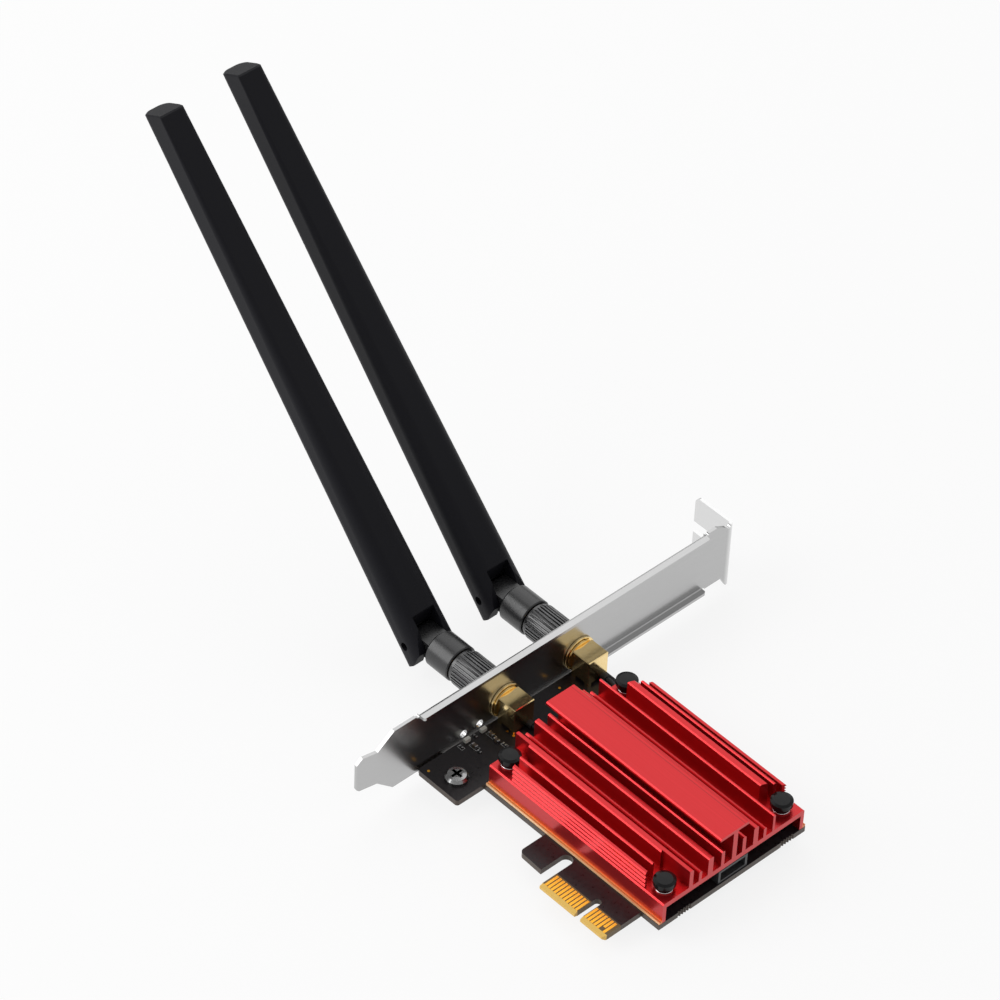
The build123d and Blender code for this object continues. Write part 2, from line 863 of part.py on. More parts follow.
def make_blade(y):
    """A tapered blade, rounded at the hinge and sharper at the tip, with a slot that takes the tongue."""
    edge = blade_end_edge
    tip = [blade_back_corner, blade_ridge_corner, blade_bevel_corner, blade_back_corner]
    middle = [blade_middle_corner, blade_middle_ridge, blade_middle_corner, blade_middle_corner]
    share = blade_middle
    body = loft(
        [
            blade_section(-blade_tail, blade_base_width, blade_base_depth, [blade_base_corner] * 4, 0),
            blade_section(
                share * blade_reach - (1 - share) * blade_tail,
                share * blade_tip_width + (1 - share) * blade_base_width,
                share * blade_tip_depth + (1 - share) * blade_base_depth,
                middle,
                0,
            ),
            blade_section(blade_reach - edge, blade_tip_width, blade_tip_depth, tip, blade_end_slant),
            blade_section(
                blade_reach, blade_tip_width - 2 * edge, blade_tip_depth - 2 * edge, tip, blade_end_slant
            ),
        ],
        ruled=True,
    )
    front = blade_base_depth / 2
    slot = [
        (blade_tail, -slot_radius),
        (0, -slot_radius),
        (-slot_radius, 0),
        (-slot_front_reach, front),
        (blade_tail, front),
    ]
    body -= prism_y(slot, -slot_half, slot_half)
    body -= Rot(90, 0, 0) * Cylinder(slot_radius, 2 * slot_half)
    relief = [
        (blade_tail, ear_low),
        ear_mid,
        (-ear_front_start, front),
        (blade_tail, front),
    ]
    heel = [(blade_tail, -front), (blade_tail - ear_heel, -front), (blade_tail, ear_heel - front)]
    for outline in (relief, heel):
        body -= prism_y(outline, -blade_base_width, blade_base_width)
    body -= Rot(90, 0, 0) * Cylinder(hinge_pin_radius, blade_base_width)
    body -= radiator_strip(radiator_clearance)
    return at_hinge(body, y)


def radiator_strip(room):
    """The printed strip inside the blade, or with some room around it the cavity that holds it."""
    half_width = radiator_width / 2 + room
    half_thick = radiator_thick / 2
    start = radiator_start - (slot_radius if room else 0)
    end = radiator_start + radiator_length + room
    return block(-end, -start, -half_width, half_width, -half_thick, half_thick + room)


def make_radiator(y):
    return at_hinge(radiator_strip(0), y)


def make_hinge_pin(y):
    length = blade_base_width - 2 * hinge_pin_recess
    return at_hinge(Rot(90, 0, 0) * Cylinder(hinge_pin_radius, length), y)


def make_module_board():
    half = module_width / 2
    top = module_z + module_thick
    board = block(module_x, module_end, module_y - half, module_y + half, module_z, top)
    return board - rod(module_x, module_y, module_notch_radius, module_z, top)


def make_module_socket():
    start = module_end - module_key_depth
    low = module_y - module_width / 2
    high = module_y + module_width / 2
    socket = block(start, start + socket_length, low, high, board_top, board_top + socket_height)
    return socket - block(start, module_end, low, high, module_z, module_z + module_thick)


def shield_box():
    """The shield's lower and upper X and Y, on the module."""
    start = module_x + shield_setback
    return start, start + shield_length, module_y - shield_width / 2, module_y + shield_width / 2


def make_module_shield():
    x0, x1, y0, y1 = shield_box()
    z0 = module_z + module_thick
    can = block(x0, x1, y0, y1, z0, z0 + shield_height)
    return fillet(can.edges().filter_by(Axis.Z), pad_margin / 2)


def make_thermal_pad():
    x0, x1, y0, y1 = shield_box()
    z0 = module_z + module_thick + shield_height
    return block(x0 + pad_margin, x1 - pad_margin, y0 + pad_margin, y1 - pad_margin, z0, base_low)


def make_standoff():
    post = rod(module_x, module_y, standoff_radius, board_top, module_z)
    return post - rod(module_x, module_y, module_screw_radius, board_top, module_z)


def make_module_screw():
    top = module_z + module_thick
    screw = rod(module_x, module_y, module_screw_radius, board_top, top)
    return screw + rod(module_x, module_y, module_screw_head, top, top + module_screw_head_thick)


def lead_plug_places():
    """Where each lead meets its plug on the module, one for each jack."""
    x = module_x + lead_plug_setback
    return [(x, module_y - lead_plug_offset), (x, module_y + lead_plug_offset)]


def make_lead_plugs():
    z0 = module_z + module_thick
    return group(rod(x, y, lead_plug_radius, z0, z0 + lead_plug_height) for x, y in lead_plug_places())


def make_ferrules():
    z = board_top + lead_height
    return group(
        bar(y + lead_offset, z, ferrule_radius, jack_rear_x, jack_rear_x + ferrule_length) for y in jack_ys
    )


def make_lead(number):
    """A thin coaxial lead, from the ferrule behind a jack to its plug on the module."""
    plug_x, plug_y = lead_plug_places()[number]
    start = (jack_rear_x + ferrule_length, jack_ys[number] + lead_offset, board_top + lead_height)
    end = (plug_x - lead_plug_radius, plug_y, module_z + module_thick + lead_plug_height / 2)
    path = Spline(start, end, tangents=((1, 0, 0), (1, 0, 0)))
    return sweep(Plane(start, z_dir=(1, 0, 0)) * Circle(lead_radius), path=path)


def make_header():
    end = far_x - header_inset
    z0 = board_top
    shell = block(end - header_depth, end, header_y, header_y + header_width, z0, z0 + header_height)
    return shell - block(
        end - header_depth + header_wall,
        end,
        header_y + header_wall,
        header_y + header_width - header_wall,
        z0 + header_wall,
        z0 + header_height - header_wall,
    )


def make_header_pins():
    start = far_x - header_inset - header_depth + header_wall
    middle = header_y + header_width / 2
    z = board_top + header_height / 2
    first = middle - header_pitch * (header_pins - 1) / 2
    half = header_pin / 2
    pins = []
    for i in range(header_pins):
        y = first + i * header_pitch
        pins.append(block(start, start + header_pin_length, y - half, y + half, z - half, z + half))
    return group(pins)


def on_board(place, size):
    """A small part standing on the board, at a place given from the bracket."""
    x = face_x + place[0]
    return block(
        x - size[0] / 2,
        x + size[0] / 2,
        place[1] - size[1] / 2,
        place[1] + size[1] / 2,
        board_top,
        board_top + size[2],
    )


def make_leds():
    return group(on_board((led_setback, y), (led_width, led_length, led_height)) for y in led_ys)


def make_inductor():
    coil = on_board(inductor_place, inductor_size)
    return chamfer(coil.edges().filter_by(Axis.Z), inductor_corner)


nodes = {
    "circuit_board": make_board(),
    "edge_contacts": make_contacts(),
    "slot_bracket": make_bracket(),
    "bracket_screw": make_screw(),
    "heatsink": make_heatsink(),
    "push_pins": make_push_pins(),
    "push_pin_springs": make_springs(),
    "jack_insulators": make_jack_insulators(),
    "jack_contacts": make_jack_contacts(),
    "jack_lock_washers": make_washers(),
    "jack_hex_nuts": make_nuts(),
    "module_board": make_module_board(),
    "module_socket": make_module_socket(),
    "module_shield": make_module_shield(),
    "module_standoff": make_standoff(),
    "module_screw": make_module_screw(),
    "thermal_pad": make_thermal_pad(),
    "lead_plugs": make_lead_plugs(),
    "lead_ferrules": make_ferrules(),
    "cable_header": make_header(),
    "cable_header_pins": make_header_pins(),
    "status_lights": make_leds(),
    "chip_resistors": group(on_board(place, resistor_size) for place in resistor_places),
    "chip_capacitors": group(on_board(place, capacitor_size) for place in capacitor_places),
    "regulator_chip": on_board(regulator_place, regulator_size),
    "power_inductor": make_inductor(),
}
for index, jack_y in enumerate(jack_ys):
    number = index + 1
    nodes[f"jack_{number}"] = make_jack(jack_y)
    nodes[f"coax_lead_{number}"] = make_lead(index)
    nodes[f"antenna_{number}_plug_core"] = make_plug_core(jack_y)
    nodes[f"antenna_{number}_coupling_nut"] = make_coupling_nut(jack_y)
    nodes[f"antenna_{number}_coupling_sleeve"] = make_coupling_sleeve(jack_y)
    nodes[f"antenna_{number}_knuckle"] = make_knuckle(jack_y)
    nodes[f"antenna_{number}_blade"] = make_blade(jack_y)
    nodes[f"antenna_{number}_radiator"] = make_radiator(jack_y)
    nodes[f"antenna_{number}_hinge_pin"] = make_hinge_pin(jack_y)

os.makedirs("parts", exist_ok=True)
for name, shape in nodes.items():
    export_step(shape, f"parts/{name}.step")
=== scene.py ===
# %% [markdown]
# # A radio card for a desktop computer
# The solids of the card were drawn elsewhere, to size. This lesson loads them, gives each one the
# finish of the real thing, adds the small details that are worth modelling by hand, and lights the
# card as a product photographer would, on a pale table.

# %% Load the card
import math

import bpy
from mathutils import Matrix, Vector


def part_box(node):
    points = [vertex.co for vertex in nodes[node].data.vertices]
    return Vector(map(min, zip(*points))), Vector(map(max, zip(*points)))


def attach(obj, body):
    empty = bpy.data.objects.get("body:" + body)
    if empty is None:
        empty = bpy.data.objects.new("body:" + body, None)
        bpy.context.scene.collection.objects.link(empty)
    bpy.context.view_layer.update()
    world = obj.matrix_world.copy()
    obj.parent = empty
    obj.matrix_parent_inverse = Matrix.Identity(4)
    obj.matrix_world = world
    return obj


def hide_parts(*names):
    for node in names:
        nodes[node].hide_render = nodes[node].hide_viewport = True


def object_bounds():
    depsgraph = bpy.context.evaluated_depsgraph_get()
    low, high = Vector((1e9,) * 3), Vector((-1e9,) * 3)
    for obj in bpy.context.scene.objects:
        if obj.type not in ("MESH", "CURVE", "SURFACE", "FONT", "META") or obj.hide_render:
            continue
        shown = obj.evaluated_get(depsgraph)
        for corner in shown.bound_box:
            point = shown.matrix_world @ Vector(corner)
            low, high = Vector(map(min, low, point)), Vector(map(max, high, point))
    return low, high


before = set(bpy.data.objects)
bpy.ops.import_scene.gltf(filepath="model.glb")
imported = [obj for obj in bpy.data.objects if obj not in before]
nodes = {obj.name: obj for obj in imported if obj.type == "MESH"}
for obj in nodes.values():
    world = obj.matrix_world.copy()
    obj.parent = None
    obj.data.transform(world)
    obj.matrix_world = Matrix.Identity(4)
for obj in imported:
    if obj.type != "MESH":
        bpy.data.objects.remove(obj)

bpy.ops.object.select_all(action="DESELECT")
cad_low, cad_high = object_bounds()
mm = 0.001
print("solids:", len(nodes), "box:", [round(v, 4) for v in (*cad_low, *cad_high)])

# %% [markdown]
# ## Finishes
# A finish starts from one Principled shader. Almost every real surface also has a fine grain, and
# the grain's direction tells how it was made: an extrusion is drawn along its length, rolled sheet
# is brushed one way, moulded plastic is evenly speckled. So one helper makes the plain finish and
# a second adds a noise, stretched as needed, to its roughness and its bump. Object coordinates are
# used, because every piece keeps its place in its mesh and the grain then stays put.

# %% Helpers for finishes
def plain_finish(name, colour, metallic, roughness):
    """A material with one Principled shader, set on its own sockets."""
    material = bpy.data.materials.new(name)
    material.use_nodes = True
    shader = material.node_tree.nodes["Principled BSDF"]
    shader.inputs["Base Color"].default_value = (*colour, 1)
    shader.inputs["Metallic"].default_value = metallic
    shader.inputs["Roughness"].default_value = roughness
    return material


def node_in(material, kind, **values):
    """Adds a node; each value goes to the input of that name, with _ for a space."""
    node = material.node_tree.nodes.new(kind)
    for name, value in values.items():
        node.inputs[name.replace("_", " ")].default_value = value
    return node


def join(material, start, end):
    """Links an output to an input."""
    material.node_tree.links.new(start, end)


def shader_of(material):
    return material.node_tree.nodes["Principled BSDF"]


def place_in(material, scale):
    """Object coordinates, stretched by a scale along each axis."""
    coordinates = node_in(material, "ShaderNodeTexCoord")
    mapping = node_in(material, "ShaderNodeMapping", Scale=scale)
    join(material, coordinates.outputs["Object"], mapping.inputs["Vector"])
    return mapping.outputs["Vector"]


def add_grain(material, scale, roughness, height, detail=3.0):
    """A noise that moves the roughness between two values and lifts the surface a little."""
    noise = node_in(material, "ShaderNodeTexNoise", Scale=1.0, Detail=detail)
    join(material, place_in(material, scale), noise.inputs["Vector"])
    spread = node_in(material, "ShaderNodeMapRange", From_Min=0.3, From_Max=0.7,
                     To_Min=roughness[0], To_Max=roughness[1])
    join(material, noise.outputs["Fac"], spread.inputs["Value"])
    join(material, spread.outputs["Result"], shader_of(material).inputs["Roughness"])
    bump = node_in(material, "ShaderNodeBump", Strength=0.5, Distance=height)
    join(material, noise.outputs["Fac"], bump.inputs["Height"])
    join(material, bump.outputs["Normal"], shader_of(material).inputs["Normal"])
    return noise


def tint(material, noise, dark, light):
    """Colours that drift with the grain, from dark to light."""
    ramp = material.node_tree.nodes.new("ShaderNodeValToRGB")
    ramp.color_ramp.elements[0].position = 0.3
    ramp.color_ramp.elements[0].color = (*dark, 1)
    ramp.color_ramp.elements[1].position = 0.7
    ramp.color_ramp.elements[1].color = (*light, 1)
    join(material, noise.outputs["Fac"], ramp.inputs["Fac"])
    join(material, ramp.outputs["Color"], shader_of(material).inputs["Base Color"])
    return ramp.outputs["Color"]


def dress(material, *names):
    """Gives a finish to solids of the card."""
    for name in names:
        slots = nodes[name].data.materials
        slots.clear()
        slots.append(material)


# %% [markdown]
# Some finishes change at a line: paint stops at a masked edge, a recess is darker than the face
# around it. Such a limit is a comparison of one coordinate with a number, which gives 0 or 1. Two
# limits multiplied make a strip or a corner, and a Mix node then puts the second colour there.

# %% Helpers for limits
def axes_of(material):
    """The object coordinates, one output for each axis."""
    split = node_in(material, "ShaderNodeSeparateXYZ")
    join(material, place_in(material, (1, 1, 1)), split.inputs["Vector"])
    return split.outputs


def sum_of(material, operation, first, second):
    """A Math node on an output and a number, or on two outputs."""
    node = node_in(material, "ShaderNodeMath")
    node.operation = operation
    join(material, first, node.inputs[0])
    if isinstance(second, float):
        node.inputs[1].default_value = second
    else:
        join(material, second, node.inputs[1])
    return node.outputs["Value"]


def strip(material, axis, low, high):
    """1 where the coordinate lies between two numbers, 0 elsewhere."""
    above = sum_of(material, "GREATER_THAN", axis, low)
    below = sum_of(material, "LESS_THAN", axis, high)
    return sum_of(material, "MULTIPLY", above, below)


def paint(material, under, colour, where):
    """Puts a colour over another one where a limit is 1, and gives the result to the shader."""
    mix = node_in(material, "ShaderNodeMix")
    mix.data_type = "RGBA"
    join(material, where, mix.inputs[0])
    join(material, under, mix.inputs[6])
    mix.inputs[7].default_value = (*colour, 1)
    join(material, mix.outputs[2], shader_of(material).inputs["Base Color"])
    return mix.outputs[2]


# %% [markdown]
# ## The red heatsink
# The heatsink is drawn through a die, sawn to length, milled at its corners and then anodised red.
# Dyed anodising is a clear layer over bare metal, so the shader is mostly metallic with a red colour
# and a coat on top, which puts pale lights on the edges. The die leaves fine lines along the
# extrusion, which is X here. The foot ledges are painted orange as a painted highlight, paler on
# their outer face and dimmer along X, and the die's scored groove along them is painted dark as
# painted shade. A painted reflection of the ledge, in orange, runs a little way up the wall and
# fades there, which a Map Range node does.

# %% Anodised red
sink_low, sink_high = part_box("heatsink")
red_anodised = plain_finish("red_anodised", (0.60, 0.014, 0.018), 1.0, 0.3)
shader_of(red_anodised).inputs["Coat Weight"].default_value = 0.4
shader_of(red_anodised).inputs["Specular IOR Level"].default_value = 0.3
shader_of(red_anodised).inputs["Coat Roughness"].default_value = 0.16
lines = add_grain(red_anodised, (40, 6000, 6000), (0.29, 0.38), 0.000001)
red = tint(red_anodised, lines, (0.54, 0.010, 0.014), (0.60, 0.014, 0.019))
sink_axes = axes_of(red_anodised)
half_wide = (sink_high.y - sink_low.y) / 2
ledge_start = half_wide - 0.76 * mm
beyond = half_wide + mm
across = sum_of(red_anodised, "SUBTRACT", sink_axes["Y"], sink_low.y + half_wide)
outwards = sum_of(red_anodised, "ABSOLUTE", across, 0.0)
# Painted highlight: the foot ledges are painted orange and their outer faces peach.
ledge_highlight = strip(red_anodised, outwards, ledge_start, beyond)
lip_highlight = strip(red_anodised, outwards, half_wide - 0.03 * mm, beyond)
# Painted shade: a dark line in the ledge's groove.
groove_shade = strip(red_anodised, outwards, half_wide - 0.46 * mm, half_wide - 0.3 * mm)
# Painted reflection: orange from the ledge, low on the wall, fading upwards.
wall_reflection = strip(red_anodised, outwards, half_wide - 0.95 * mm, ledge_start)
# Painted light falloff: the painted highlight and reflection grow dimmer along X.
light_falloff = node_in(red_anodised, "ShaderNodeMapRange", From_Min=sink_low.x, From_Max=sink_high.x,
               To_Min=1.0, To_Max=0.6)
join(red_anodised, sink_axes["X"], light_falloff.inputs["Value"])
ledge_highlight = sum_of(red_anodised, "MULTIPLY", ledge_highlight, light_falloff.outputs["Result"])
lip_highlight = sum_of(red_anodised, "MULTIPLY", lip_highlight, light_falloff.outputs["Result"])
reflection_fade = node_in(red_anodised, "ShaderNodeMapRange", From_Min=sink_low.z + 0.7 * mm,
                From_Max=sink_low.z + 2.0 * mm, To_Min=0.8, To_Max=0.0)
join(red_anodised, sink_axes["Z"], reflection_fade.inputs["Value"])
wall_reflection = sum_of(red_anodised, "MULTIPLY", wall_reflection, reflection_fade.outputs["Result"])
wall_reflection = sum_of(red_anodised, "MULTIPLY", wall_reflection, light_falloff.outputs["Result"])
red = paint(red_anodised, red, (1.0, 0.30, 0.08), wall_reflection)
red = paint(red_anodised, red, (1.0, 0.46, 0.15), ledge_highlight)
red = paint(red_anodised, red, (1.0, 0.64, 0.36), lip_highlight)
red = paint(red_anodised, red, (0.50, 0.11, 0.02), groove_shade)
# Painted shade: a thin dark line along a shallow step on the plateau's top.
ridge = strip(red_anodised, sink_axes["Y"], 37.75 * mm, 37.9 * mm)
top = sum_of(red_anodised, "GREATER_THAN", sink_axes["Z"], sink_high.z - 0.05 * mm)
red = paint(red_anodised, red, (0.30, 0.004, 0.006), sum_of(red_anodised, "MULTIPLY", ridge, top))
# Metallic is 0.78, and lower under the painted highlight on the ledges so that its painted colour
# shows.
gleam = node_in(red_anodised, "ShaderNodeMath")
gleam.operation = "SUBTRACT"
gleam.use_clamp = True
gleam.inputs[0].default_value = 0.78
join(red_anodised, ledge_highlight, gleam.inputs[1])
join(red_anodised, gleam.outputs["Value"], shader_of(red_anodised).inputs["Metallic"])
dress(red_anodised, "heatsink")
print("heatsink dressed, width", round(sink_high.y - sink_low.y, 4))

# %% [markdown]
# ## The circuit board
# A black solder mask covers both faces and leaves the sawn edges brown. On the tongue the mask
# stops above the edge contacts and the bare woven laminate shows between them, brown and matt. The
# tongue's lower edge is planed to a bevel so that it finds the slot, and that fresh cut is golden.

# %% Solder mask and bare laminate
board_low, board_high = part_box("circuit_board")
board_finish = plain_finish("board_mask", (0.016, 0.013, 0.014), 0.0, 0.35)
shader_of(board_finish).inputs["Specular IOR Level"].default_value = 0.3
mottle = add_grain(board_finish, (900, 900, 900), (0.26, 0.40), 0.000006)
mask = tint(board_finish, mottle, (0.012, 0.0098, 0.0108), (0.020, 0.0162, 0.0178))
tongue_start = -12.6 * mm
mask_end = 5.35 * mm
bevel_top = 0.97 * mm
axes = axes_of(board_finish)
on_tongue = sum_of(board_finish, "GREATER_THAN", axes["X"], tongue_start)
bare = sum_of(board_finish, "LESS_THAN", axes["Y"], mask_end)
bare = sum_of(board_finish, "MULTIPLY", bare, on_tongue)
planed = sum_of(board_finish, "LESS_THAN", axes["Y"], bevel_top)
planed = sum_of(board_finish, "MULTIPLY", planed, on_tongue)
sawn = strip(board_finish, axes["Z"], board_low.z + 0.05 * mm, board_high.z - 0.05 * mm)
mask = paint(board_finish, mask, (0.085, 0.065, 0.052), sawn)
mask = paint(board_finish, mask, (0.15, 0.10, 0.04), bare)
mask = paint(board_finish, mask, (0.78, 0.50, 0.12), planed)
dress(board_finish, "circuit_board")
print("board dressed, top at", round(board_high.z, 5))

# %% [markdown]
# ## Plated metal
# The jacks, their nuts and the contact fingers are plated with gold. The jacks are polished, so
# they mirror the board and the room; the fingers are a little duller and deeper in colour.

# %% Gold
jack_gold = plain_finish("jack_gold", (0.95, 0.72, 0.35), 1.0, 0.13)
gold_film = add_grain(jack_gold, (1500, 1500, 1500), (0.10, 0.17), 0.0000015)
tint(jack_gold, gold_film, (0.93, 0.69, 0.32), (0.97, 0.76, 0.39))
finger_gold = plain_finish("finger_gold", (0.93, 0.46, 0.05), 1.0, 0.3)
finger_film = add_grain(finger_gold, (4000, 800, 4000), (0.26, 0.40), 0.000003)
tint(finger_gold, finger_film, (0.90, 0.43, 0.04), (0.96, 0.50, 0.06))
dress(jack_gold, "jack_1", "jack_2", "jack_contacts", "jack_lock_washers", "jack_hex_nuts",
      "lead_plugs", "module_standoff", "cable_header_pins")
dress(jack_gold, "antenna_1_plug_core", "antenna_2_plug_core",
      "antenna_1_coupling_nut", "antenna_2_coupling_nut")
dress(finger_gold, "edge_contacts")

# %% [markdown]
# ## Steel
# The bracket is plated sheet with a bright, slightly brushed face. The brush marks run along it,
# which is Y, and towards the bend of the folded flange at its end the colour is painted lighter, a
# painted highlight. Springs are brighter still.
# The cross in the screw's head is deep and catches no light, so what lies below the head's top and
# near its middle is painted dark.

# %% Bracket steel and bright steel
bracket_steel = plain_finish("bracket_steel", (0.49, 0.49, 0.49), 1.0, 0.26)
brush = add_grain(bracket_steel, (5000, 200, 5000), (0.255, 0.265), 0.000000002)
sheet = tint(bracket_steel, brush, (0.478, 0.478, 0.478), (0.502, 0.502, 0.502))
bracket_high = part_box("slot_bracket")[1]
# Painted highlight: the colour grows lighter towards the bend of the folded flange.
bend_highlight = node_in(bracket_steel, "ShaderNodeMapRange", From_Min=bracket_high.y - 2.2 * mm,
                    From_Max=bracket_high.y - 0.9 * mm, To_Min=0.0, To_Max=1.0)
join(bracket_steel, axes_of(bracket_steel)["Y"], bend_highlight.inputs["Value"])
paint(bracket_steel, sheet, (0.74, 0.74, 0.74), bend_highlight.outputs["Result"])
bright_steel = plain_finish("bright_steel", (0.78, 0.78, 0.79), 1.0, 0.18)
polish = add_grain(bright_steel, (2500, 2500, 2500), (0.14, 0.26), 0.000003)
tint(bright_steel, polish, (0.72, 0.72, 0.73), (0.82, 0.82, 0.83))
dress(bracket_steel, "slot_bracket")
dress(bright_steel, "push_pin_springs", "module_shield", "module_screw")

# %% Screw steel with a dark recess
screw_low, screw_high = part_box("bracket_screw")
screw_steel = plain_finish("screw_steel", (0.62, 0.62, 0.63), 1.0, 0.22)
screw_film = add_grain(screw_steel, (2500, 2500, 2500), (0.18, 0.3), 0.000003)
steel = tint(screw_steel, screw_film, (0.30, 0.30, 0.30), (0.40, 0.40, 0.40))
screw_axes = axes_of(screw_steel)
middle = (screw_low + screw_high) / 2
recess_half = 1.57 * mm
near_x = strip(screw_steel, screw_axes["X"], middle.x - recess_half, middle.x + recess_half)
near_y = strip(screw_steel, screw_axes["Y"], middle.y - recess_half, middle.y + recess_half)
sunk = strip(screw_steel, screw_axes["Z"], screw_high.z - 1.2 * mm, screw_high.z - 0.28 * mm)
sunk = sum_of(screw_steel, "MULTIPLY", sunk, sum_of(screw_steel, "MULTIPLY", near_x, near_y))
paint(screw_steel, steel, (0.012, 0.012, 0.012), sunk)
dress(screw_steel, "bracket_screw")
print("screw at", [round(v, 4) for v in middle])

# %% [markdown]
# ## Plastics and rubber
# The antennas are moulded with a fine spark-eroded texture. It scatters light, so they stay dark
# and only show a soft grey where a lamp grazes them. The knuckles are smoother, and the knurled
# sleeves and the pins' caps are polished by the mould, so those are glossier.

# %% Antenna plastics
antenna_plastic = plain_finish("antenna_plastic", (0.008, 0.008, 0.0105), 0.0, 0.5)
shader_of(antenna_plastic).inputs["Specular IOR Level"].default_value = 0.15
speckle = add_grain(antenna_plastic, (6000, 6000, 6000), (0.44, 0.58), 0.00001)
tint(antenna_plastic, speckle, (0.0055, 0.0055, 0.0078), (0.009, 0.009, 0.012))
knuckle_plastic = plain_finish("knuckle_plastic", (0.014, 0.014, 0.016), 0.0, 0.3)
shader_of(knuckle_plastic).inputs["Specular IOR Level"].default_value = 0.7
wear = add_grain(knuckle_plastic, (3500, 3500, 3500), (0.25, 0.37), 0.000008)
tint(knuckle_plastic, wear, (0.010, 0.010, 0.011), (0.015, 0.015, 0.016))
pin_plastic = plain_finish("pin_plastic", (0.006, 0.006, 0.0065), 0.0, 0.2)
shader_of(pin_plastic).inputs["Specular IOR Level"].default_value = 0.2
skin = add_grain(pin_plastic, (700, 700, 700), (0.17, 0.24), 0.000002)
tint(pin_plastic, skin, (0.005, 0.005, 0.0055), (0.0075, 0.0075, 0.008))
# Painted shade: the hinge pins are painted almost black, to stand for the shade inside the hinge holes.
hole_shade = plain_finish("hole_shade", (0.006, 0.006, 0.006), 0.3, 0.6)
hole_shade_grain = add_grain(hole_shade, (2500, 2500, 2500), (0.55, 0.7), 0.000004)
tint(hole_shade, hole_shade_grain, (0.004, 0.004, 0.004), (0.009, 0.009, 0.009))
for number in (1, 2):
    dress(antenna_plastic, f"antenna_{number}_blade")
    dress(knuckle_plastic, f"antenna_{number}_knuckle")
    dress(hole_shade, f"antenna_{number}_hinge_pin")
dress(pin_plastic, "push_pins")

# %% [markdown]
# The crests of the knurl are painted a paler grey, a painted highlight where the lamps glint on them,
# and the grooves stay black. A crest lies further from the sleeve's axis than a groove does, so the
# distance from that axis tells them apart, and it stays true when the sleeve is turned.

# %% Knurled sleeves
def knurl_finish(name):
    """Black plastic whose crests, found by their distance from the sleeve's own axis, are painted paler
    as a painted highlight.
    """
    low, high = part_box(name)
    axis_y, axis_z = (low.y + high.y) / 2, (low.z + high.z) / 2
    crest = (high.z - low.z) / 2 - 0.06 * mm
    finish = plain_finish(name + "_finish", (0.01, 0.01, 0.011), 0.0, 0.25)
    shader_of(finish).inputs["Specular IOR Level"].default_value = 1.0
    rubbed = add_grain(finish, (2500, 2500, 2500), (0.18, 0.26), 0.000003)
    black = tint(finish, rubbed, (0.006, 0.006, 0.007), (0.011, 0.011, 0.012))
    axes = axes_of(finish)
    side = sum_of(finish, "SUBTRACT", axes["Y"], axis_y)
    rise = sum_of(finish, "SUBTRACT", axes["Z"], axis_z)
    squares = sum_of(finish, "ADD", sum_of(finish, "MULTIPLY", side, side),
                     sum_of(finish, "MULTIPLY", rise, rise))
    # Painted highlight: the crests are painted a paler grey.
    crest_highlight = sum_of(finish, "GREATER_THAN", squares, crest ** 2)
    paint(finish, black, (0.035, 0.035, 0.037), crest_highlight)
    return finish


grip_finishes = {}
for number in (1, 2):
    sleeve = f"antenna_{number}_coupling_sleeve"
    grip_finishes[number] = knurl_finish(sleeve)
    dress(grip_finishes[number], sleeve)
    print(sleeve, "dressed")

# %% Other plastics, ceramics and rubber
connector_plastic = plain_finish("connector_plastic", (0.012, 0.012, 0.013), 0.0, 0.5)
matt = add_grain(connector_plastic, (3000, 3000, 3000), (0.45, 0.58), 0.000006)
tint(connector_plastic, matt, (0.009, 0.009, 0.010), (0.015, 0.015, 0.016))
white_plastic = plain_finish("white_plastic", (0.80, 0.80, 0.78), 0.0, 0.4)
wax = add_grain(white_plastic, (2000, 2000, 2000), (0.34, 0.46), 0.000006)
tint(white_plastic, wax, (0.77, 0.77, 0.75), (0.83, 0.83, 0.81))
pad_rubber = plain_finish("pad_rubber", (0.32, 0.33, 0.36), 0.0, 0.8)
crumb = add_grain(pad_rubber, (1800, 1800, 1800), (0.74, 0.88), 0.00003)
tint(pad_rubber, crumb, (0.28, 0.29, 0.32), (0.36, 0.37, 0.40))
module_mask = plain_finish("module_mask", (0.015, 0.10, 0.045), 0.0, 0.35)
weave = add_grain(module_mask, (1500, 1500, 1500), (0.28, 0.42), 0.000008)
tint(module_mask, weave, (0.012, 0.085, 0.038), (0.018, 0.115, 0.052))
chip_ceramic = plain_finish("chip_ceramic", (0.09, 0.065, 0.045), 0.0, 0.4)
fired = add_grain(chip_ceramic, (5000, 5000, 5000), (0.34, 0.48), 0.000006)
tint(chip_ceramic, fired, (0.075, 0.052, 0.036), (0.11, 0.08, 0.056))
lamp_resin = plain_finish("lamp_resin", (0.70, 0.70, 0.64), 0.0, 0.2)
resin = add_grain(lamp_resin, (2500, 2500, 2500), (0.16, 0.26), 0.000005)
tint(lamp_resin, resin, (0.64, 0.64, 0.58), (0.74, 0.74, 0.68))
header_plastic = plain_finish("header_plastic", (0.035, 0.035, 0.037), 0.0, 0.4)
mould = add_grain(header_plastic, (2500, 2500, 2500), (0.34, 0.46), 0.000005)
tint(header_plastic, mould, (0.028, 0.028, 0.030), (0.042, 0.042, 0.044))
dress(connector_plastic, "module_socket", "regulator_chip", "power_inductor",
      "chip_resistors", "lead_ferrules", "coax_lead_1", "coax_lead_2")
dress(header_plastic, "cable_header")
dress(white_plastic, "jack_insulators")
dress(pad_rubber, "thermal_pad")
dress(module_mask, "module_board", "antenna_1_radiator", "antenna_2_radiator")
dress(chip_ceramic, "chip_capacitors")
dress(lamp_resin, "status_lights")
print("finishes:", len(bpy.data.materials))

# %% [markdown]
# ## Helpers for new pieces
# A new piece starts as a primitive, already at its size and place, and is then shaped in edit mode.
# Three helpers keep that short: one opens edit mode with chosen faces selected, one makes copies,
# each with a mesh of its own, and joins them, and one puts the finished piece in order.

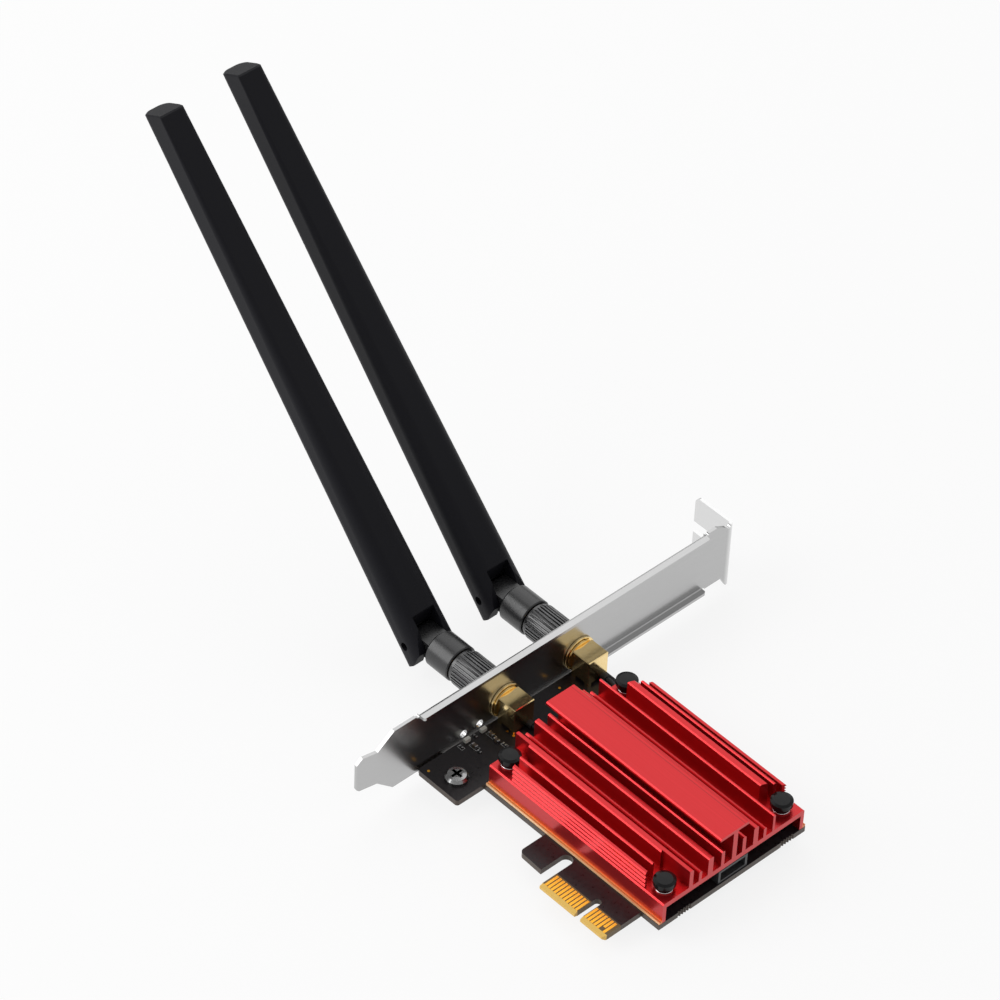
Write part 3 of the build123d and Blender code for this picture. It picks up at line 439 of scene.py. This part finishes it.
# %% Shape, settle and repeat
def pick(test):
    """Selects the faces of the active mesh whose middle and normal pass a test, in edit mode."""
    bpy.ops.object.mode_set(mode="OBJECT")
    mesh = bpy.context.object.data
    for kind in (mesh.vertices, mesh.edges, mesh.polygons):
        kind.foreach_set("select", [False] * len(kind))
    for face in mesh.polygons:
        face.select = test(face.center, face.normal)
    bpy.ops.object.mode_set(mode="EDIT")
    bpy.ops.mesh.select_mode(type="FACE")


def repeat(piece, moves):
    """Copies of a piece at other places, joined with it into one piece."""
    bpy.ops.object.select_all(action="DESELECT")
    for move in moves:
        twin = piece.copy()
        twin.data = piece.data.copy()
        twin.data.transform(Matrix.Translation(move))
        bpy.context.scene.collection.objects.link(twin)
        twin.select_set(True)
    piece.select_set(True)
    bpy.context.view_layer.objects.active = piece
    bpy.ops.object.join()
    return piece


def settle(piece, name, finish, body="card"):
    """Names a piece, gives it its finish and lets it ride on a body."""
    piece.name = name
    piece.data.name = name
    piece.data.materials.clear()
    piece.data.materials.append(finish)
    bpy.ops.object.select_all(action="DESELECT")
    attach(piece, body)
    print(name, "faces:", len(piece.data.polygons))
    return piece


# %% [markdown]
# ## Springs under the pin caps
# Each push pin pulls the heatsink down through a small coil spring. The solid only has a ring
# there. A coil is a circle, the wire's section, swept round an axis while it climbs, which is
# what the Screw modifier does. Its two open ends are then filled.

# %% Coil springs
pins_low, pins_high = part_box("push_pins")
rings_low, rings_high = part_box("push_pin_springs")
cap_radius = 2.7 * mm
wire = 0.15 * mm
climb = rings_high.z - rings_low.z - 2 * wire
pin_places = [(x, y) for x in (pins_low.x + cap_radius, pins_high.x - cap_radius)
              for y in (pins_low.y + cap_radius, pins_high.y - cap_radius)]
bpy.ops.mesh.primitive_circle_add(vertices=12, radius=wire, location=(2.04 * mm, 0, 0),
                                  rotation=(math.pi / 2, 0, 0))
spring = bpy.context.object
bpy.ops.object.transform_apply(location=True, rotation=True, scale=True)
turns = spring.modifiers.new("turns", "SCREW")
turns.angle = math.radians(560)
turns.screw_offset = climb
turns.steps = 64
turns.render_steps = 64
bpy.ops.object.modifier_apply(modifier="turns")

# %% Close the coil's ends and set one under each cap
def close_ends(smooth_below):
    """Fills the open ends of a swept wire, turns its faces outwards and smooths it."""
    bpy.ops.object.mode_set(mode="EDIT")
    bpy.ops.mesh.select_mode(type="EDGE")
    bpy.ops.mesh.select_all(action="DESELECT")
    bpy.ops.mesh.select_non_manifold()
    bpy.ops.mesh.fill()
    bpy.ops.mesh.select_all(action="SELECT")
    bpy.ops.mesh.normals_make_consistent(inside=False)
    bpy.ops.object.mode_set(mode="OBJECT")
    bpy.ops.object.shade_smooth_by_angle(angle=math.radians(smooth_below))


close_ends(50)
first = Vector((*pin_places[0], rings_low.z + wire))
spring.data.transform(Matrix.Translation(first))
repeat(spring, [Vector((x - first.x, y - first.y, 0)) for x, y in pin_places[1:]])
settle(spring, "pin_springs", bright_steel)
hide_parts("push_pin_springs")

# %% [markdown]
# ## Spring washers behind the bracket
# A spring washer is a turn of square wire, cut through and twisted so that its ends bite. Between
# the bracket and the jack's block it is pressed almost flat. The wire's section is a square with
# bevelled corners, swept once round the jack's axis with the Screw modifier, which leaves the cut
# open, and the ends are closed like those of the springs.

# %% Wire section swept round
washers_low, washers_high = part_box("jack_lock_washers")
washer_depth = washers_high.x - washers_low.x
washer_middle = (washers_low + washers_high) / 2
ring_outside = (washers_high.z - washers_low.z) / 2
wire_wide = 1.15 * mm
bpy.ops.mesh.primitive_plane_add(size=1, location=(ring_outside - wire_wide / 2, 0, 0),
                                 rotation=(math.pi / 2, 0, 0))
washer = bpy.context.object
washer.scale = (wire_wide, washer_depth * 0.8, 1)
bpy.ops.object.transform_apply(location=True, rotation=True, scale=True)
bpy.ops.object.mode_set(mode="EDIT")
bpy.ops.mesh.select_all(action="SELECT")
bpy.ops.mesh.bevel(offset=0.2 * mm, segments=4, affect="VERTICES")
bpy.ops.mesh.delete(type="ONLY_FACE")
bpy.ops.object.mode_set(mode="OBJECT")
sweep = washer.modifiers.new("sweep", "SCREW")
sweep.angle = math.radians(344)
sweep.screw_offset = washer_depth * 0.18
sweep.steps = 72
sweep.render_steps = 72
bpy.ops.object.modifier_apply(modifier="sweep")

# %% Close the cut, stand the washer up and copy it
close_ends(40)
jack_ys = []
for name in ("jack_1", "jack_2"):
    jack_low, jack_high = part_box(name)
    jack_ys.append((jack_low.y + jack_high.y) / 2)
stand = Matrix.Rotation(math.pi / 2, 4, "Y") @ Matrix.Rotation(math.radians(158), 4, "Z")
washer.data.transform(stand)
seat = washers_low.x + washer_depth * 0.41
washer.data.transform(Matrix.Translation((seat, jack_ys[0], washer_middle.z)))
repeat(washer, [Vector((0, jack_ys[1] - jack_ys[0], 0))])
settle(washer, "spring_washers", jack_gold)
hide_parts("jack_lock_washers")

# %% [markdown]
# ## Knurled grips
# The grip that screws each antenna on is a tube with straight ridges, which rise from a smooth
# collar next to the knuckle. The solid has finer, squarer ridges. Here a cylinder is bored by
# insetting its two ends and bridging them, the collar is marked off with a bisect, and every
# second face of the rest is extruded. Scaling those faces outwards makes the ridges, and scaling
# them towards the bracket slopes their ends. A Bevel modifier rounds the crests.

# %% A bored tube
sleeve_low, sleeve_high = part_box("antenna_1_coupling_sleeve")
nut_low, nut_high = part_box("antenna_1_coupling_nut")
grip_middle = (sleeve_low + sleeve_high) / 2
grip_long = sleeve_high.x - sleeve_low.x
crest_radius = (sleeve_high.z - sleeve_low.z) / 2
ridge_height = 0.4 * mm
collar_end = sleeve_low.x + 0.5 * mm
slope_long = 0.8 * mm
floor_radius = crest_radius - ridge_height
bore_radius = (nut_high.z - nut_low.z) / 2
ridge_count = 32
bpy.ops.mesh.primitive_cylinder_add(vertices=2 * ridge_count, radius=floor_radius, depth=grip_long,
                                    location=grip_middle, rotation=(0, math.pi / 2, 0))
grip = bpy.context.object
bpy.ops.object.transform_apply(location=True, rotation=True, scale=True)
pick(lambda middle, normal: abs(normal.x) > 0.5)
bpy.ops.mesh.inset(thickness=floor_radius - bore_radius)
bpy.ops.mesh.bridge_edge_loops()
bpy.ops.mesh.select_all(action="SELECT")
bpy.ops.mesh.bisect(plane_co=(collar_end, 0, 0), plane_no=(1, 0, 0))

# %% Ridges
face_turn = math.pi / ridge_count


def on_ridge(middle, normal):
    """True for every second outer face beyond the collar."""
    side, rise = middle.y - grip_middle.y, middle.z - grip_middle.z
    outside = math.hypot(side, rise) > (floor_radius + bore_radius) / 2 and abs(normal.x) < 0.5
    even = math.floor(math.atan2(rise, side) / face_turn) % 2 == 0
    return outside and even and middle.x > collar_end


pick(on_ridge)
bpy.ops.mesh.extrude_faces_indiv()
swell = crest_radius / floor_radius
bpy.ops.transform.resize(value=(1, swell, swell), center_override=grip_middle)
bpy.ops.transform.resize(value=(1 - slope_long / grip_long, 1, 1),
                         center_override=(sleeve_high.x, grip_middle.y, grip_middle.z))
bpy.ops.mesh.select_all(action="SELECT")
bpy.ops.mesh.remove_doubles(threshold=0.000001)
bpy.ops.mesh.normals_make_consistent(inside=False)
bpy.ops.object.mode_set(mode="OBJECT")
soften = grip.modifiers.new("soften", "BEVEL")
soften.width = 0.09 * mm
soften.segments = 2
soften.limit_method = "ANGLE"
soften.angle_limit = math.radians(40)
bpy.ops.object.modifier_apply(modifier="soften")
bpy.ops.object.shade_smooth_by_angle(angle=math.radians(40))

# %% One grip for each antenna
other_low, other_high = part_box("antenna_2_coupling_sleeve")
other_grip = grip.copy()
other_grip.data = grip.data.copy()
other_grip.data.transform(Matrix.Translation((0, other_low.y - sleeve_low.y, 0)))
bpy.context.scene.collection.objects.link(other_grip)
for number, piece in ((1, grip), (2, other_grip)):
    settle(piece, f"antenna_{number}_knurled_grip", grip_finishes[number],
           f"antenna_{number}_coupling")
    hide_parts(f"antenna_{number}_coupling_sleeve")

# %% [markdown]
# ## Solder under the jacks
# The jacks' tails come through the board and are soldered from below. Solder wets the tail and
# the pad and freezes in a hollow cone. A disc is extruded away from the board a few times, each
# step narrower than the one before, so the side curves inwards.

# %% Solder cones
solder_tin = plain_finish("solder_tin", (0.60, 0.60, 0.61), 1.0, 0.28)
frost = add_grain(solder_tin, (1800, 1800, 1800), (0.2, 0.36), 0.00001)
tint(solder_tin, frost, (0.34, 0.34, 0.35), (0.48, 0.48, 0.49))
tails = []
for name in ("jack_1", "jack_2"):
    jack_low, jack_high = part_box(name)
    axis_y = (jack_low.y + jack_high.y) / 2
    tails += [(jack_high.x - inset, axis_y + side * 2.525 * mm)
              for inset in (0.65 * mm, 5.1 * mm) for side in (-1, 1)]
foot = Vector((*tails[0], board_low.z))
bpy.ops.mesh.primitive_circle_add(vertices=28, radius=1.05 * mm, fill_type="NGON", location=foot)
solder = bpy.context.object
bpy.ops.object.transform_apply(location=True, rotation=True, scale=True)
bpy.ops.object.mode_set(mode="EDIT")
bpy.ops.mesh.select_all(action="SELECT")
for drop, share in ((0.12, 0.90), (0.16, 0.84), (0.24, 0.86), (0.34, 0.92)):
    bpy.ops.mesh.extrude_region_move(TRANSFORM_OT_translate={"value": (0, 0, -drop * mm)})
    bpy.ops.transform.resize(value=(share, share, 1), center_override=foot)
bpy.ops.mesh.select_all(action="SELECT")
bpy.ops.mesh.normals_make_consistent(inside=False)
bpy.ops.object.mode_set(mode="OBJECT")
bpy.ops.object.shade_smooth_by_angle(angle=math.radians(45))
repeat(solder, [Vector((x - foot.x, y - foot.y, 0)) for x, y in tails[1:]])
settle(solder, "jack_solder", solder_tin)

# %% [markdown]
# ## Ends of the chip parts
# Chip resistors and capacitors are soldered by tinned caps on their two ends. A cap is a small
# block, a hair larger than the chip so that it wraps round it, with its edges rounded by a bevel.
# There are two sizes of chip, so two caps are modelled and copied to each end.

# %% Tinned caps
bracket_x = -57.76 * mm
chip_rows = [
    ((1.0, 0.55, 0.4), [(1.5, 20.6), (5.8, 17.9), (1.9, 15.7), (7.9, 23.9)]),
    ((1.6, 0.85, 0.8), [(3.8, 18.2), (3.6, 23.7), (5.8, 23.3)]),
]
cap_groups = []
for size, places in chip_rows:
    cap_long = size[0] * 0.24 * mm
    ends = [Vector((bracket_x + x * mm + side * (size[0] * mm - cap_long) / 2, y * mm, 0))
            for x, y in places for side in (-1, 1)]
    cap_size = (cap_long + 0.03 * mm, size[1] * mm + 0.04 * mm, size[2] * mm + 0.02 * mm)
    bpy.ops.mesh.primitive_cube_add(
        size=1, location=(ends[0].x, ends[0].y, board_high.z + cap_size[2] / 2), scale=cap_size)
    cap = bpy.context.object
    bpy.ops.object.transform_apply(location=True, rotation=True, scale=True)
    bpy.ops.object.mode_set(mode="EDIT")
    bpy.ops.mesh.select_all(action="SELECT")
    bpy.ops.mesh.bevel(offset=0.05 * mm, segments=2)
    bpy.ops.object.mode_set(mode="OBJECT")
    bpy.ops.object.shade_smooth_by_angle(angle=math.radians(40))
    cap_groups.append(repeat(cap, [end - ends[0] for end in ends[1:]]))
settle(cap_groups[0], "resistor_ends", solder_tin)
settle(cap_groups[1], "capacitor_ends", solder_tin)

# %% [markdown]
# ## Plated holes
# Small plated holes join the layers of the board. Each is a ring of gold with a dark middle. A
# disc is raised a little, inset to make the ring, and its middle is pushed back down almost to the
# board.

# %% Rings of plated holes
ring_radius = 0.34 * mm
ring_wide = 0.15 * mm


def plated_rings(name, places, face_z, out):
    """Rings of plated holes on one face of the board; out is 1 upwards and -1 downwards."""
    spots = [Vector((x * mm, y * mm, face_z)) for x, y in places]
    bpy.ops.mesh.primitive_circle_add(
        vertices=20, radius=ring_radius, fill_type="NGON", location=spots[0])
    ring = bpy.context.object
    bpy.ops.object.transform_apply(location=True, rotation=True, scale=True)
    bpy.ops.object.mode_set(mode="EDIT")
    bpy.ops.mesh.select_all(action="SELECT")
    bpy.ops.mesh.extrude_region_move(TRANSFORM_OT_translate={"value": (0, 0, out * 0.03 * mm)})
    bpy.ops.mesh.inset(thickness=ring_wide)
    bpy.ops.mesh.extrude_region_move(TRANSFORM_OT_translate={"value": (0, 0, -out * 0.025 * mm)})
    bpy.ops.mesh.select_all(action="SELECT")
    bpy.ops.mesh.normals_make_consistent(inside=False)
    bpy.ops.object.mode_set(mode="OBJECT")
    repeat(ring, [spot - spots[0] for spot in spots[1:]])
    return settle(ring, name, finger_gold)


upper_holes = [(-55.2, 4.9), (-55.1, 46.4), (-52.7, 27.4), (-50.7, 27.5)]
lower_holes = [(-50.7, 27.5), (-38.0, 21.5), (-34.5, 21.5), (-34.5, 24.0), (-20.4, 15.2), (-18.2, 15.2),
               (-12.4, 13.2), (-9.6, 8.4), (-5.1, 8.4), (-0.6, 8.4), (3.9, 8.4), (-28.3, 38.6),
               (-24.1, 44.2), (-9.7, 47.3), (1.8, 36.6), (1.8, 31.4), (4.6, 25.1), (-41.2, 46.8)]
plated_rings("plated_holes_above", upper_holes, board_high.z, 1)
plated_rings("plated_holes_below", lower_holes, board_low.z, -1)

# %% [markdown]
# ## Printed marks
# The board's maker prints thin white outlines round the small parts. An outline is a plane that is
# inset, with its middle deleted, and Solidify then gives the ink its thickness.

# %% Ink outlines
ink = plain_finish("ink", (0.42, 0.42, 0.41), 0.0, 0.7)
patchy = add_grain(ink, (4000, 4000, 4000), (0.6, 0.8), 0.000003)
tint(ink, patchy, (0.34, 0.34, 0.33), (0.48, 0.48, 0.47))
frames = [(3.8, 18.2, 2.5, 1.4), (3.6, 23.7, 2.5, 1.4), (7.9, 23.9, 1.7, 1.1), (1.9, 15.7, 1.7, 1.1)]
outlines = []
for x, y, long, wide in frames:
    bpy.ops.mesh.primitive_plane_add(
        size=1, location=(bracket_x + x * mm, y * mm, board_high.z + 0.002 * mm))
    outline = bpy.context.object
    outline.scale = (long * mm, wide * mm, 1)
    bpy.ops.object.transform_apply(location=True, rotation=True, scale=True)
    bpy.ops.object.mode_set(mode="EDIT")
    bpy.ops.mesh.select_all(action="SELECT")
    bpy.ops.mesh.inset(thickness=0.12 * mm)
    bpy.ops.mesh.delete(type="FACE")
    bpy.ops.object.mode_set(mode="OBJECT")
    layer = outline.modifiers.new("layer", "SOLIDIFY")
    layer.thickness = 0.015 * mm
    layer.offset = 1
    bpy.ops.object.modifier_apply(modifier="layer")
    outlines.append(outline)
for number, outline in enumerate(outlines, 1):
    settle(outline, f"ink_outline_{number}", ink)

# %% [markdown]
# ## Table, light and camera
# The table is a large pale plane just under the card's lowest point. To the camera and in
# reflections most of it is plain white, as in a product picture, and the rest keeps a soft shadow.
# One large soft lamp stands to the left in front, where the rounded edges of the fins mirror it, a
# wide panel hangs behind, which the flat tops mirror, and a weak one fills in from the right. The
# camera is a long lens, far away and high, so the card's edges stay almost parallel.

# %% Table
bpy.ops.mesh.primitive_plane_add(size=8, location=(0, 0, cad_low[2] - 0.0002))
table = bpy.context.object
table.name = "table"
bpy.ops.object.transform_apply(location=True, rotation=True, scale=True)
table_white = plain_finish("table_white", (0.88, 0.88, 0.88), 0.0, 0.9)
table.data.materials.append(table_white)
rays = node_in(table_white, "ShaderNodeLightPath")
seen = sum_of(table_white, "MAXIMUM", rays.outputs["Is Camera Ray"], rays.outputs["Is Glossy Ray"])
seen = sum_of(table_white, "MAXIMUM", seen, rays.outputs["Is Transmission Ray"])
white_share = sum_of(table_white, "MULTIPLY", seen, 0.84)
glow = node_in(table_white, "ShaderNodeEmission", Color=(1, 1, 1, 1), Strength=1.0)
blend = node_in(table_white, "ShaderNodeMixShader")
join(table_white, white_share, blend.inputs[0])
join(table_white, shader_of(table_white).outputs["BSDF"], blend.inputs[1])
join(table_white, glow.outputs["Emission"], blend.inputs[2])
join(table_white, blend.outputs["Shader"],
     table_white.node_tree.nodes["Material Output"].inputs["Surface"])
print("table at", round(table.data.vertices[0].co.z, 4))

# %% Room and lamps
world = bpy.data.worlds.new("white_room")
bpy.context.scene.world = world
world.use_nodes = True
room = world.node_tree.nodes["Background"]
room.inputs["Color"].default_value = (1, 1, 1, 1)
room.inputs["Strength"].default_value = 0.5


def soft_lamp(name, place, size, power):
    """A square soft box that points at the card."""
    bpy.ops.object.light_add(type="AREA", location=place)
    lamp = bpy.context.object
    lamp.name = name
    lamp.data.shape = "SQUARE"
    lamp.data.size = size
    lamp.data.energy = power
    aim = Vector((-0.04, 0.03, 0.02))
    lamp.rotation_euler = (aim - Vector(place)).to_track_quat("-Z", "Y").to_euler()
    return lamp


soft_lamp("key_lamp", (-0.61, -0.72, 0.58), 0.9, 7.0)
soft_lamp("back_panel", (-0.66, 0.65, 0.84), 1.2, 3.9)
soft_lamp("side_panel", (0.62, 0.64, 0.84), 0.8, 0.6)
print("lamps:", len(bpy.data.lights))

# %% Camera
eye = Vector((0.52499, -0.55007, 0.83631))
right = Vector((0.678653, 0.733589, 0.035743))
up = Vector((-0.518803, 0.444368, 0.730329))
back = Vector((0.519878, -0.514184, 0.682160))
lens_data = bpy.data.cameras.new("camera")
lens_data.lens = 180.36
lens_data.sensor_width = 36
lens_data.clip_start = 0.05
camera = bpy.data.objects.new("camera", lens_data)
bpy.context.scene.collection.objects.link(camera)
turn = Matrix((right, up, back)).transposed().to_4x4()
camera.matrix_world = Matrix.Translation(eye) @ turn
bpy.context.scene.camera = camera
bpy.context.scene.view_settings.view_transform = "Standard"
